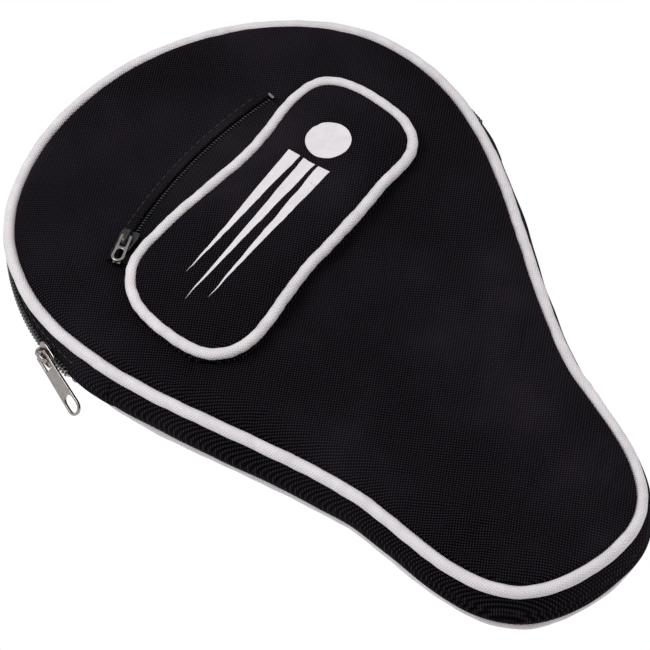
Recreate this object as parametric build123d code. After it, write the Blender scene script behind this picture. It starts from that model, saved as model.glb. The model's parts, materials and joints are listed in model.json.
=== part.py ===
"""Padded zip case for a table-tennis bat, with a ball pocket on its front panel.

+Z points out of the front panel, +Y points to the head, and the origin is on the
flat back face, halfway along the case. All sizes are in millimetres.
"""

import os
from math import cos, radians, sin

from build123d import *

# ---- Case outline, measured at the piping centreline --------------------------
CASE_LENGTH = 296.0
HEAD_RADIUS = 96.0
HEAD_CENTRE_Y = CASE_LENGTH / 2 + 2.0 - HEAD_RADIUS
SHOULDER_RADIUS = 60.0
NECK_RADIUS = 80.0
CORNER_RADIUS = 34.0
END_RADIUS = 82.0
HEAD_TURN = 98.0
SHOULDER_TURN = 16.0
NECK_TURN = 14.6
CORNER_TURN = 60.0

# ---- Levels above the face that the case lies on ------------------------------
BACK_SEAM_Z = 4.4
FRONT_SEAM_Z = 25.0
FRONT_FACE_Z = 31.0
ZIP_Z = (BACK_SEAM_Z + FRONT_SEAM_Z) / 2

# ---- Layers of each panel ------------------------------------------------------
PANEL_INSET = 2.45
FRONT_EDGE_ROUND = 5.0
BACK_EDGE_ROUND = 4.1
FABRIC = 0.8
PADDING = 2.5
LINING = 0.5

# ---- Piping --------------------------------------------------------------------
PIPING_RADIUS = 2.4
PIPING_CORD_RADIUS = 1.6
BINDING_INSET = 2.6
BINDING_WIDTH = 7.0
BINDING_THICKNESS = 1.6

# ---- Side wall and main zip ----------------------------------------------------
WALL_BULGE = 3.5
SEAM_CLEARANCE = 0.1
WALL_THICKNESS = 0.8
ZIP_END_Y = 43.0
ZIP_RADIUS = HEAD_RADIUS + 2.9
COIL_RADIUS = 0.75
COIL_OFFSET = 1.25
TAPE_EDGE = 1.6
COIL_END_ANGLE = -4.6
STOP_ANGLE = -5.4
STOP_SIZE = (1.8, 1.0, 3.0)
END_TAB = 7.0

# ---- Fold across the front panel, head side of the pocket ----------------------
POCKET_CENTRE = (-1.6, 46.3)
POCKET_TILT = 18.0
FOLD_OFFSET = 48.0
FOLD_GAP = 0.4

# ---- Pocket ---------------------------------------------------------------------
POCKET_CORNER_RADIUS = 17.0
POCKET_PIPING_Z = 37.0
POCKET_FACE_Z = 40.5
POCKET_INSET = 2.45
POCKET_EDGE_ROUND = 2.6
POCKET_ZIP_RADIUS = 200.0
POCKET_ZIP_TOP = (-2.0, 41.2)
POCKET_ZIP_Z = 33.6
POCKET_ZIP_HALF_ANGLE = 14.0
POCKET_STOP_ANGLE = 14.4
POCKET_TAPE_WIDTH = 4.0
POCKET_MOUTH = (-48.0, 52.0)
POCKET_TAPE_LINE = [(20.0, 35.2), (41.5, 33.9)]
TAPE_THICKNESS = 0.6

# ---- Sliders and pulls -----------------------------------------------------------
SLIDER_ANGLE = 179.0
SLIDER_TILT = 30.0
SLIDER_LENGTH = 9.5
SLIDER_WIDTH = 7.4
PLATE = 1.3
PLATE_FACE = 1.8
RIM = 0.4
POST = 0.4
CROWN_WIDTH = 1.5
CROWN_RISE = 3.1
CROWN_LENGTH = 6.6
CROWN_BAR = 0.9
POCKET_SLIDER_ANGLE = 11.6
MAIN_INNER_PLATE = (-1.9, 1.3, -0.95, 3.3)
POCKET_INNER_PLATE = (-1.15, 0.9, -2.2, 2.2)
PULL_BAR_RADIUS = 0.55
PULL_BAR_HEIGHT = 1.25
PULL_THICKNESS = 1.2
PULL_LENGTH = 28.0
PULL_WIDTH = 7.0
PULL_DROOP = 14.0
PULL_LIFT = -4.0
PULL_FRAME = 1.45
WINDOW_LENGTH = 4.6
EYE_SETBACK = 0.75
POCKET_PULL_LENGTH = 12.5
POCKET_PULL_WIDTH = 5.2
POCKET_PULL_DROOP = 6.0

# ---- Printed graphic ---------------------------------------------------------------
PRINT_THICKNESS = 0.15
BALL_RADIUS = 9.0
BALL_X = 38.0
STRIPE_HEIGHT = 5.4
STRIPE_GAP = 3.6
STRIPE_PITCH = 7.0
STRIPE_LEFT = (-44.0, -54.0, -49.0)

# Larger than the whole case, for cutting blocks.
BIG = 400.0
POCKET = Location((*POCKET_CENTRE, 0), (0, 0, POCKET_TILT))


def right_of(heading):
    """Unit vector to the right of a heading given in degrees."""
    return Vector(sin(radians(heading)), -cos(radians(heading)), 0)


def straight_lengths():
    """Lengths of the taper and neck lines that close the half outline on the axis."""
    turns = (HEAD_TURN, SHOULDER_TURN, -NECK_TURN, CORNER_TURN)
    radii = (HEAD_RADIUS, SHOULDER_RADIUS, -NECK_RADIUS, CORNER_RADIUS)
    heading = 0.0
    reach = Vector(0, HEAD_CENTRE_Y + HEAD_RADIUS, 0)
    headings = []
    for turn, radius in zip(turns, radii):
        reach += (right_of(heading) - right_of(heading - turn)) * radius
        heading -= turn
        headings.append(heading)
    reach += (right_of(heading) - right_of(-180)) * END_RADIUS
    gap = Vector(0, -CASE_LENGTH / 2, 0) - reach
    taper, neck = [Vector(cos(radians(h)), sin(radians(h)), 0) for h in headings[1:3]]
    cross = taper.X * neck.Y - taper.Y * neck.X
    return (gap.X * neck.Y - gap.Y * neck.X) / cross, (taper.X * gap.Y - taper.Y * gap.X) / cross


TAPER_LENGTH, NECK_LENGTH = straight_lengths()


def half_outline(offset):
    """Right half of the outline, moved outward by offset, from head to handle end."""
    head = JernArc((0, HEAD_CENTRE_Y + HEAD_RADIUS + offset), (1, 0), HEAD_RADIUS + offset, -HEAD_TURN)
    shoulder = JernArc(head @ 1, head % 1, SHOULDER_RADIUS + offset, -SHOULDER_TURN)
    taper = Line(shoulder @ 1, shoulder @ 1 + (shoulder % 1) * TAPER_LENGTH)
    neck = JernArc(taper @ 1, taper % 1, NECK_RADIUS - offset, NECK_TURN)
    handle = Line(neck @ 1, neck @ 1 + (neck % 1) * NECK_LENGTH)
    corner = JernArc(handle @ 1, handle % 1, CORNER_RADIUS + offset, -CORNER_TURN)
    end_turn = 180 - HEAD_TURN - SHOULDER_TURN + NECK_TURN - CORNER_TURN
    end = JernArc(corner @ 1, corner % 1, END_RADIUS + offset, -end_turn)
    return Curve() + [head, shoulder, taper, neck, handle, corner, end]


def outline_wire(offset=0.0):
    half = half_outline(offset)
    return Wire([*half.edges(), *mirror(half, Plane.YZ).edges()])


def outline_face(offset, z):
    return Location((0, 0, z)) * make_face(outline_wire(offset))


def pocket_face_outline(inset, z):
    """Pocket face: a rounded panel whose two long sides have a shallow waist."""
    left_top, right_top = (-69, 30.5), (68, 26.2)
    right_low, left_low = (67.2, -28.6), (-69.5, -31.2)
    sides = [
        ThreePointArc(left_top, (8, 23.9), right_top),
        Line(right_top, right_low),
        ThreePointArc(right_low, (0, -27.6), left_low),
        Line(left_low, left_top),
    ]
    face = fillet(make_face(sides).vertices(), POCKET_CORNER_RADIUS)
    shrunk = offset(face, amount=-inset) if inset else face
    return POCKET * Location((0, 0, z)) * shrunk


# ---- Solids shared by several pieces ---------------------------------------------
def panel_prism(inset, depth, edge_round, z):
    """Panel-shaped block rising by depth from level z, its far edge rounded."""
    block = extrude(outline_face(-inset, z), depth)
    far = block.edges().group_by(Axis.Z)[-1 if depth > 0 else 0]
    return fillet(far, edge_round)


def panel_layer(outer, thickness, depth, edge_round, z):
    """One layer of a panel: a shallow tray between two nested blocks."""
    sign = 1 if depth > 0 else -1
    skin = panel_prism(PANEL_INSET + outer, depth - sign * outer, edge_round - outer, z)
    inner = outer + thickness
    core = panel_prism(PANEL_INSET + inner, depth - sign * inner, edge_round - inner, z)
    return skin - core


def ring(inset, width, z, thickness):
    """Flat ring that follows the case outline."""
    return extrude(outline_face(-inset, z) - outline_face(-inset - width, z), thickness)


def tube(wire, radius, hole=0.0):
    """Round tube or cord along a closed flat wire."""
    start = Plane(origin=wire @ 0, z_dir=wire % 0)
    section = Circle(radius) - Circle(hole) if hole else Circle(radius)
    return sweep(start * section, path=wire)


def side_wall(thickness=WALL_THICKNESS, lift=0.0):
    """Full-height side wall: a band whose middle stands out past both seams."""
    reach = ZIP_Z - BACK_SEAM_Z - PIPING_RADIUS - SEAM_CLEARANCE
    levels = [(lift, ZIP_Z - reach), (lift + WALL_BULGE, ZIP_Z), (lift, ZIP_Z + reach)]
    outer = loft([outline_face(out, z) for out, z in levels], ruled=True)
    inner = loft([outline_face(out - thickness, z) for out, z in levels], ruled=True)
    return outer - inner


def slab(low, high, axis):
    """Large block between two levels on one axis, used to trim other solids."""
    size = [BIG, BIG, BIG]
    centre = [0.0, 0.0, 0.0]
    size[axis] = high - low
    centre[axis] = (high + low) / 2
    return Location(centre) * Box(*size)


def flap_split(solid):
    """Handle-side and head-side parts of a front piece, a small gap apart."""
    return solid & half_space(-1), solid & half_space(1)


def half_space(side):
    middle = FOLD_OFFSET + side * (FOLD_GAP + BIG) / 2
    return POCKET * Location((0, middle, 0)) * Box(2 * BIG, BIG, BIG)


def left_and_right(solid):
    return solid & slab(-BIG, 0, 0), solid & slab(0, BIG, 0)


def arc_tube(centre, radius, z, start, turn, thickness):
    """Bead of round section along an arc about the +Z direction."""
    path = Location((0, 0, z)) * CenterArc(centre, radius, start, turn)
    return sweep(Plane(origin=path @ 0, z_dir=path % 0) * Circle(thickness), path=path)


# ---- Panels --------------------------------------------------------------------------
def panel_layers(depth, edge_round, z):
    """Outer fabric, padding and lining of one panel, from the outside in."""
    layers = {"panel": FABRIC, "padding": PADDING, "lining": LINING}
    outer = 0.0
    pieces = {}
    for name, thickness in layers.items():
        pieces[name] = panel_layer(outer, thickness, depth, edge_round, z)
        outer += thickness
    return pieces


def seam_pieces(z, binding_z):
    """Piping, its cord, and the tape that binds the seam inside the case."""
    wire = outline_wire().moved(Location((0, 0, z)))
    return {
        "piping": tube(wire, PIPING_RADIUS, PIPING_CORD_RADIUS),
        "piping_cord": tube(wire, PIPING_CORD_RADIUS),
        "seam_binding": ring(BINDING_INSET, BINDING_WIDTH, binding_z, BINDING_THICKNESS),
    }


def zip_half(side):
    """Tape and coil of the main zip on the front (+1) or back (-1) side."""
    arc = 180 - 2 * COIL_END_ANGLE
    coil_z = ZIP_Z + side * COIL_OFFSET
    coil = arc_tube((0, HEAD_CENTRE_Y), ZIP_RADIUS, coil_z, COIL_END_ANGLE, arc, COIL_RADIUS)
    edge = ZIP_Z + side * TAPE_EDGE
    levels = (edge, BIG / 2) if side > 0 else (-BIG / 2, edge)
    tape = side_wall() & slab(ZIP_END_Y, BIG, 1) & slab(*levels, 2)
    return {"zip_tape": tape - coil, "zip_coil": coil}


def zip_stop(angle):
    """Metal staple that closes one end of the main zip."""
    turn = Location((0, HEAD_CENTRE_Y, ZIP_Z), (0, 0, angle))
    return turn * Location((ZIP_RADIUS, 0, 0)) * Box(*STOP_SIZE)


def gusset_end():
    """Folded ends of the plain side wall, standing a little proud beside the zip."""
    band = side_wall(thickness=WALL_THICKNESS, lift=WALL_THICKNESS + SEAM_CLEARANCE)
    return band & slab(ZIP_END_Y - END_TAB, ZIP_END_Y, 1)


# ---- Pocket ------------------------------------------------------------------------------
def pocket_tray(outer, thickness):
    """One layer of the pocket's raised face."""
    rise = POCKET_FACE_Z - POCKET_PIPING_Z
    blocks = []
    for inset in (outer, outer + thickness):
        base = pocket_face_outline(POCKET_INSET + inset, POCKET_PIPING_Z)
        block = extrude(base, rise - inset)
        blocks.append(fillet(block.edges().group_by(Axis.Z)[-1], POCKET_EDGE_ROUND - inset))
    return blocks[0] - blocks[1]


def pocket_wall():
    """Upright wall under the pocket's piping, open along the zip."""
    height = POCKET_PIPING_Z - PIPING_RADIUS - FRONT_FACE_Z
    outer = pocket_face_outline(0, FRONT_FACE_Z)
    inner = pocket_face_outline(WALL_THICKNESS, FRONT_FACE_Z)
    left, right = POCKET_MOUTH
    mouth = POCKET * Location(((left + right) / 2, BIG / 2, 0)) * Box(right - left, BIG, BIG)
    return extrude(outer - inner, height) - mouth


def pocket_zip_centre():
    x, y = POCKET_ZIP_TOP
    return x, y - POCKET_ZIP_RADIUS


def pocket_zip_coil(side):
    radius = POCKET_ZIP_RADIUS + side * COIL_OFFSET
    half = POCKET_ZIP_HALF_ANGLE
    coil = arc_tube(pocket_zip_centre(), radius, POCKET_ZIP_Z, 90 - half, 2 * half, COIL_RADIUS)
    return POCKET * coil


def pocket_outer_tape():
    """Tape from the coil down to the front panel."""
    near = POCKET_ZIP_RADIUS + TAPE_EDGE
    far = near + POCKET_TAPE_WIDTH
    top = POCKET_ZIP_Z + TAPE_THICKNESS / 2
    low = FRONT_FACE_Z
    profile = [(near, 0, top - TAPE_THICKNESS), (near, 0, top)]
    profile += [(far, 0, low + TAPE_THICKNESS), (far, 0, low)]
    half = POCKET_ZIP_HALF_ANGLE
    face = make_face(Polyline(*profile, close=True))
    turned = Location((0, 0, 0), (0, 0, 90 - half)) * revolve(face, Axis.Z, 2 * half)
    return POCKET * Location((*pocket_zip_centre(), 0)) * turned - pocket_zip_coil(1)


def pocket_inner_tape():
    """Tape that slopes from the pocket's piping down to the coil."""
    profile = [(0, y, z) for y, z in POCKET_TAPE_LINE]
    profile += [(0, y, z - TAPE_THICKNESS) for y, z in reversed(POCKET_TAPE_LINE)]
    left, right = POCKET_MOUTH
    strip = extrude(make_face(Polyline(*profile, close=True)), right - left, dir=(1, 0, 0))
    centre = (*pocket_zip_centre(), POCKET_ZIP_Z)
    disc = Location(centre) * Cylinder(POCKET_ZIP_RADIUS - TAPE_EDGE, BIG)
    body = POCKET * ((Location((left, 0, 0)) * strip) & disc)
    under_piping = extrude(pocket_face_outline(-PIPING_RADIUS - SEAM_CLEARANCE, 0), BIG)
    return body - under_piping - pocket_zip_coil(-1)


def pocket_zip_stop(side):
    turn = Location((*pocket_zip_centre(), POCKET_ZIP_Z), (0, 0, 90 + side * POCKET_STOP_ANGLE))
    size = (STOP_SIZE[2], STOP_SIZE[1], STOP_SIZE[0])
    return POCKET * turn * Location((POCKET_ZIP_RADIUS, 0, 0)) * Box(*size)


def printed_graphic():
    """A ball with three speed stripes, printed along the pocket's face."""
    ball = Location((BALL_X, 0)) * Circle(BALL_RADIUS)
    sketch = Sketch() + ball
    for row, left in enumerate(STRIPE_LEFT):
        y = (1 - row) * STRIPE_PITCH
        right = BALL_X - BALL_RADIUS - STRIPE_GAP
        corners = [(left, y), (right, y + STRIPE_HEIGHT / 2), (right, y - STRIPE_HEIGHT / 2)]
        sketch += make_face(Polyline(*corners, close=True))
    return extrude(POCKET * Location((0, 0, POCKET_FACE_Z)) * sketch, PRINT_THICKNESS)


# ---- Sliders: local X points out of the zip, Y along its travel, Z across the tape ------------
def span_box(x, y, z):
    """Box given by its low and high limits on each axis."""
    centre = [(low + high) / 2 for low, high in (x, y, z)]
    size = [high - low for low, high in (x, y, z)]
    return Location(centre) * Box(*size)


def slider_body(inner_face, inner_plate, inner_low, inner_high):
    """Two plates joined by a post between the coils, with a crown for the pull."""
    half, width = SLIDER_LENGTH / 2, SLIDER_WIDTH / 2
    top = PLATE_FACE + PLATE
    outer = span_box((PLATE_FACE, top), (-half, half), (-width, width))
    outer = fillet(outer.edges().filter_by(Axis.X), CROWN_BAR)
    inner = span_box((inner_face - inner_plate, inner_face), (-half, half), (inner_low, inner_high))
    post = span_box((inner_face, PLATE_FACE), (-half, 0), (-POST / 2, POST / 2))
    body = outer + inner + post
    for side in (-1, 1):
        edges = sorted((side * (width - RIM), side * width))
        body += span_box((PLATE_FACE - RIM, PLATE_FACE), (-half + 1, half - 1), edges)
    return body + crown(top)


def crown(base):
    """Arch that holds the pull's bar against the slider."""
    half, width = CROWN_LENGTH / 2, CROWN_WIDTH / 2
    arch = span_box((base, base + CROWN_RISE), (-half, half), (-width, width))
    arch = fillet(arch.edges().filter_by(Axis.Z).group_by(Axis.X)[-1], CROWN_BAR)
    hole = span_box(
        (base - CROWN_BAR, base + CROWN_RISE - CROWN_BAR),
        (CROWN_BAR - half, half - CROWN_BAR),
        (-width, width),
    )
    return arch - (hole & span_box((base, BIG), (-BIG, BIG), (-BIG, BIG)))


def pull(length, width):
    """Flat pull with a window for the crown, a bar across it and an oval end hole."""
    outline = Location((length / 2 - PULL_BAR_RADIUS, 0)) * RectangleRounded(length, width, width / 3)
    window_width = width - 2 * PULL_FRAME
    window_x = PULL_BAR_RADIUS + WINDOW_LENGTH / 2
    window = Location((window_x, 0)) * Rectangle(WINDOW_LENGTH, window_width)
    slot_width = width - 2 * CROWN_BAR - PULL_BAR_RADIUS
    eye = Location((length - EYE_SETBACK * width, 0)) * SlotOverall(width, slot_width)
    plate = extrude(outline - window - eye, PULL_THICKNESS / 2, both=True)
    bar = Rot(90, 0, 0) * Cylinder(PULL_BAR_RADIUS, window_width)
    turned = Plane(origin=(0, 0, 0), x_dir=(0, 1, 0), z_dir=(1, 0, 0))
    return turned * (plate + bar)


def pull_place(droop, lift):
    """Where the pull sits on its slider: on its bar, skewed across the zip."""
    height = PLATE_FACE + PLATE + PULL_BAR_HEIGHT
    return Location((height, 0, 0)) * Rot(-droop, 0, 0) * Rot(0, 0, -lift)


def main_slider_place():
    turn = Location((0, HEAD_CENTRE_Y, ZIP_Z), (0, 0, SLIDER_ANGLE))
    return turn * Location((ZIP_RADIUS, 0, 0), (0, -SLIDER_TILT, 0))


def pocket_slider_place():
    angle = radians(90 + POCKET_SLIDER_ANGLE)
    x, y = pocket_zip_centre()
    origin = (x + POCKET_ZIP_RADIUS * cos(angle), y + POCKET_ZIP_RADIUS * sin(angle), POCKET_ZIP_Z)
    across = (-cos(angle), -sin(angle), 0)
    return POCKET * Plane(origin=origin, x_dir=(0, 0, 1), z_dir=across).location


# ---- All pieces ------------------------------------------------------------------------------
def back_pieces():
    pieces = panel_layers(-BACK_SEAM_Z, BACK_EDGE_ROUND, BACK_SEAM_Z)
    pieces |= seam_pieces(BACK_SEAM_Z, BACK_SEAM_Z + SEAM_CLEARANCE)
    pieces |= zip_half(-1)
    return {f"back_{name}": solid for name, solid in pieces.items()}


def front_pieces():
    """Front pieces, each cut at the fold into a fixed part and a flap part."""
    whole = panel_layers(FRONT_FACE_Z - FRONT_SEAM_Z, FRONT_EDGE_ROUND, FRONT_SEAM_Z)
    binding_z = FRONT_SEAM_Z - SEAM_CLEARANCE - BINDING_THICKNESS
    whole |= seam_pieces(FRONT_SEAM_Z, binding_z)
    whole |= zip_half(1)
    pieces = {}
    for name, solid in whole.items():
        fixed, flap = flap_split(solid)
        pieces[f"flap_{name}"] = flap
        if name.startswith("zip"):
            left, right = left_and_right(fixed)
            pieces[f"front_{name}_left"] = left
            pieces[f"front_{name}_right"] = right
        else:
            pieces[f"front_{name}"] = fixed
    return pieces


def side_pieces():
    gusset = side_wall() & slab(-BIG, ZIP_END_Y, 1)
    left, right = left_and_right(gusset_end())
    return {
        "handle_gusset": gusset,
        "gusset_end_left": left,
        "gusset_end_right": right,
        "zip_stop_left": zip_stop(180 - STOP_ANGLE),
        "zip_stop_right": zip_stop(STOP_ANGLE),
    }


def pocket_pieces():
    wire = pocket_face_outline(0, POCKET_PIPING_Z).wires()[0]
    return {
        "pocket_face": pocket_tray(0, FABRIC),
        "pocket_lining": pocket_tray(FABRIC, LINING),
        "pocket_wall": pocket_wall(),
        "pocket_piping": tube(wire, PIPING_RADIUS, PIPING_CORD_RADIUS),
        "pocket_piping_cord": tube(wire, PIPING_CORD_RADIUS),
        "pocket_zip_tape_inner": pocket_inner_tape(),
        "pocket_zip_tape_outer": pocket_outer_tape(),
        "pocket_zip_coil_inner": pocket_zip_coil(-1),
        "pocket_zip_coil_outer": pocket_zip_coil(1),
        "pocket_zip_stop_left": pocket_zip_stop(1),
        "pocket_zip_stop_right": pocket_zip_stop(-1),
        "pocket_print": printed_graphic(),
    }


def slider_pieces():
    main, pocket = main_slider_place(), pocket_slider_place()
    main_pull = main * pull_place(PULL_DROOP, PULL_LIFT)
    pocket_pull = pocket * pull_place(-POCKET_PULL_DROOP, 0)
    return {
        "zip_slider": main * slider_body(*MAIN_INNER_PLATE),
        "zip_pull": main_pull * pull(PULL_LENGTH, PULL_WIDTH),
        "pocket_zip_slider": pocket * slider_body(*POCKET_INNER_PLATE),
        "pocket_zip_pull": pocket_pull * pull(POCKET_PULL_LENGTH, POCKET_PULL_WIDTH),
    }


def main():
    os.makedirs("parts", exist_ok=True)
    pieces = back_pieces() | front_pieces() | side_pieces() | pocket_pieces() | slider_pieces()
    for name, solid in pieces.items():
        export_step(solid, f"parts/{name}.step")


main()
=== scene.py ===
"""Padded zip case for a table-tennis bat: fabric, piping, coil zips and nickel sliders."""

import json
import math

import bmesh
import bpy
import numpy as np
from mathutils import Matrix, Vector
from mathutils.kdtree import KDTree


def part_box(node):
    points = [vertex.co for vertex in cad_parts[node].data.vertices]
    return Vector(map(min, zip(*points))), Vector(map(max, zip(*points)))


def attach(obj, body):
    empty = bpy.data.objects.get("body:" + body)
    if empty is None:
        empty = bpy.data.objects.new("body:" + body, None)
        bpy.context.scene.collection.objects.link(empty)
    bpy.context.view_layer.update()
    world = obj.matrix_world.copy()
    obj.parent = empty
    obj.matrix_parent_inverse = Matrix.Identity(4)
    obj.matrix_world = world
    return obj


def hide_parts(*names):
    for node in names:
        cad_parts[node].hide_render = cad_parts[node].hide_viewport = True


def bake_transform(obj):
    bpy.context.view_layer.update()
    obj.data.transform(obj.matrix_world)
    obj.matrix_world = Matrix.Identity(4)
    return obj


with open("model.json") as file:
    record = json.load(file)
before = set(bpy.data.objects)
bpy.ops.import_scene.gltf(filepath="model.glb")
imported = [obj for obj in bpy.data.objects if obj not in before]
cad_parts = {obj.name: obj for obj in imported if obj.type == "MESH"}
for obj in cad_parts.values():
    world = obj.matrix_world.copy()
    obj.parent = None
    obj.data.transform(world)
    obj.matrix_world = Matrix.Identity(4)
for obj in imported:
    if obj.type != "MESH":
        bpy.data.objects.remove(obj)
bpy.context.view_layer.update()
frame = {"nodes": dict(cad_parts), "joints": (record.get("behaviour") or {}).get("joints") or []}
JOINTS = {joint["name"]: joint for joint in frame["joints"]}

# Everything below is worked out in millimetres and scaled when a mesh is made.
MM = 0.001


def middle(node):
    low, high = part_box(node)
    return [(a + b) / 2 / MM for a, b in zip(low, high)]


def joint_place(name):
    """A joint's position in millimetres and its axis."""
    joint = JOINTS[name]
    return np.array(joint["pos_m"]) / MM, np.array(joint["axis"])


# ---- Levels and lines taken from the frame ----
FRONT_Z = middle("front_piping")[2]
BACK_Z = middle("back_piping")[2]
ZIP_PIVOT = joint_place("zip_travel")[0]
ZIP_Z = ZIP_PIVOT[2]
HEAD_CENTRE = ZIP_PIVOT[:2]
ZIP_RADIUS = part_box("back_zip_coil")[1][0] / MM - 0.75
ZIP_END_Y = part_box("handle_gusset")[1][1] / MM
FRONT_FACE_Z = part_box("front_panel")[1][2] / MM
FOLD_POINT, FOLD_AXIS = joint_place("front_flap")
ALONG = FOLD_AXIS[:2]
ACROSS = np.array([-ALONG[1], ALONG[0]])
FOLD_OFFSET = 48.0
POCKET_CENTRE = FOLD_POINT[:2] - FOLD_OFFSET * ACROSS
POCKET_Z = middle("pocket_piping")[2]
POCKET_ZIP_PIVOT = joint_place("pocket_zip_travel")[0]
POCKET_ZIP_RADIUS = 200.0
POCKET_ZIP_Z = POCKET_ZIP_PIVOT[2]

# ---- Sizes ----
PIPING_RADIUS = 2.4
POCKET_PIPING_RADIUS = 2.15
SHELL = 0.8
PADDING = 2.5
LINING = 0.4
WALL = 0.7
WALL_BULGE = 5.2
BACK_TUCK = 2.2
COIL_PITCH = 1.66
COIL_WIRE = 0.36
POCKET_COIL_PITCH = 1.35
POCKET_COIL_WIRE = 0.27
POCKET_ZIP_HALF_ANGLE = 14.2
# Cloth lip over the pocket zip, from over the coil to the panel: (outward, height).
POCKET_LIP = [(-1.3, 1.45), (0, 1.5), (1.4, 0.85), (3.2, -0.9), (4.4, -2.4)]
# How far inside the seam each layer starts, and where the ends of each piping meet.
SEWN_INSET = 1.0
PADDING_INSET = 5.0
PIPING_JOINT = (47.2, -88.5)
POCKET_PIPING_JOINT = (12.0, -26.4)
BALL_RADIUS = 9.0
BALL_X = 38.0
STRIPE_HEIGHT = 5.4
STRIPE_GAP = 3.6
STRIPE_PITCH = 7.0
STRIPE_LEFT = (-44.0, -54.0, -49.0)

# Right half of the sewn outline, from the middle of the head to the handle end.
HALF_OUTLINE = [
    (0, 147), (33, 141.9), (62.4, 127.5), (85, 103.4), (94.6, 68.6), (89.5, 30.6),
    (78.8, 0.6), (64.1, -33.2), (53.8, -59), (49.0, -74), (46.1, -91), (43.6, -107),
    (38.1, -126.2), (26.3, -142), (9, -147.9),
]
# Pocket outline in the pocket's own axes, anticlockwise from its right end.
POCKET_OUTLINE = [
    (67.8, 6.2), (62.3, 21.2), (50, 24.9), (24, 23.5), (-10, 26.8), (-36, 28.9),
    (-51.6, 27.1), (-63.6, 16.4), (-69.3, -5.1), (-68.5, -19.2), (-60, -28.6), (-46, -30.5),
    (-18, -28), (14, -28.6), (40, -28.4), (55, -27.5), (64.3, -17.2), (67.2, -4),
]


# ---- Curves ----
def closed_spline(points, count):
    """Smooth closed curve through the points, sampled evenly along its length."""
    knots = np.array(points, float)
    steps = np.linalg.norm(np.roll(knots, -1, 0) - knots, axis=1)
    size = len(knots)
    system = np.zeros((size, size))
    right = np.zeros((size, 2))
    for i in range(size):
        before, after = steps[i - 1], steps[i]
        system[i, i - 1] += before
        system[i, i] += 2 * (before + after)
        system[i, (i + 1) % size] += after
        rise = (knots[(i + 1) % size] - knots[i]) / after
        right[i] = 6 * (rise - (knots[i] - knots[i - 1]) / before)
    bend = np.linalg.solve(system, right)
    dense = []
    for i in range(size):
        j, step = (i + 1) % size, steps[i]
        for x in np.linspace(0, step, 60, endpoint=False):
            a, b = step - x, x
            curve = (bend[i] * a**3 + bend[j] * b**3) / (6 * step)
            first = (knots[i] / step - bend[i] * step / 6) * a
            second = (knots[j] / step - bend[j] * step / 6) * b
            dense.append(curve + first + second)
    return resample(np.array(dense), count, closed=True)


def resample(path, count, closed=False):
    """The same path with evenly spaced points."""
    loop = np.vstack([path, path[:1]]) if closed else path
    length = np.r_[0, np.cumsum(np.linalg.norm(np.diff(loop, axis=0), axis=1))]
    places = np.linspace(0, length[-1], count, endpoint=not closed)
    return at_lengths(places, length, loop)


def at_lengths(places, length, values):
    """Rows of values read off at places along a path whose rows lie at length."""
    columns = range(values.shape[1])
    return np.stack([np.interp(places, length, values[:, k]) for k in columns], axis=1)


def outward(path, closed=True):
    """Unit normals to the right of a flat path, so outward on a clockwise loop."""
    if closed:
        run = np.roll(path, -1, 0) - np.roll(path, 1, 0)
    else:
        run = np.gradient(path, axis=0)
    normal = np.stack([-run[:, 1], run[:, 0]], axis=1)
    return normal / np.linalg.norm(normal, axis=1)[:, None]


def smooth_step(value):
    value = np.clip(value, 0, 1)
    return value * value * (3 - 2 * value)


def ripple(x, seed, terms=5):
    """Gentle irregular wave of about unit height."""
    total = 0
    for k in range(1, terms + 1):
        total = total + np.sin(x * k * 0.83 + seed * 1.7 * k + k * k) / (0.6 + 0.4 * k)
    return total / 2.2


def pocket_to_case(points):
    """Pocket axes to case axes."""
    points = np.asarray(points, float)
    return POCKET_CENTRE + points[:, :1] * ALONG + points[:, 1:2] * ACROSS


STATIONS = 960
mirrored = [(-x, y) for x, y in reversed(HALF_OUTLINE[1:])]
OUTLINE = closed_spline(HALF_OUTLINE + mirrored, STATIONS)
NORMALS = outward(OUTLINE)


def tuck_at(points):
    """How far the back seam lies inside the front seam: along the head and the right side."""
    head = smooth_step((points[:, 1] - 20) / 30)
    right = smooth_step((points[:, 0] + 20) / 40) * smooth_step((points[:, 1] + 125) / 30)
    return BACK_TUCK * np.maximum(head, right)


def bulge_at(points, normals):
    """How far the side wall stands out: to the zip's own arc at the head."""
    offset = points - HEAD_CENTRE
    b = np.sum(offset * normals, axis=1)
    c = np.sum(offset * offset, axis=1) - ZIP_RADIUS**2
    reach = -b + np.sqrt(np.maximum(b * b - c, 0))
    if reach.min() >= 0:
        reach = np.sqrt(reach * reach + 0.9)
    else:
        reach = np.maximum(reach, 1.0)
    share = smooth_step((points[:, 1] - 20) / 20)
    return WALL_BULGE * (1 - share) + reach * share


# ---- Mesh building ----
def add_object(name, data):
    piece = bpy.data.objects.new(name, data)
    bpy.context.scene.collection.objects.link(piece)
    return piece


def make_mesh(name, points, faces, material, uvs=None):
    """A smooth-shaded mesh object from millimetre points; uvs go by corner."""
    mesh = bpy.data.meshes.new(name)
    mesh.from_pydata((np.asarray(points, float) * MM).tolist(), [], faces)
    mesh.update()
    mesh.polygons.foreach_set("use_smooth", [True] * len(mesh.polygons))
    if uvs is not None:
        layer = mesh.uv_layers.new(name="UVMap")
        layer.data.foreach_set("uv", np.asarray(uvs, np.float32).ravel())
    mesh.materials.append(material)
    return add_object(name, mesh)


def grid_faces(rows, columns, wrap_rows=False, wrap_columns=False):
    """Quads over a rows x columns grid, with optional wrap each way."""
    faces = []
    for i in range(rows if wrap_rows else rows - 1):
        for j in range(columns if wrap_columns else columns - 1):
            a, b = i * columns + j, i * columns + (j + 1) % columns
            c, d = ((i + 1) % rows) * columns + (j + 1) % columns, ((i + 1) % rows) * columns + j
            faces.append((a, b, c, d))
    return faces


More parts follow.
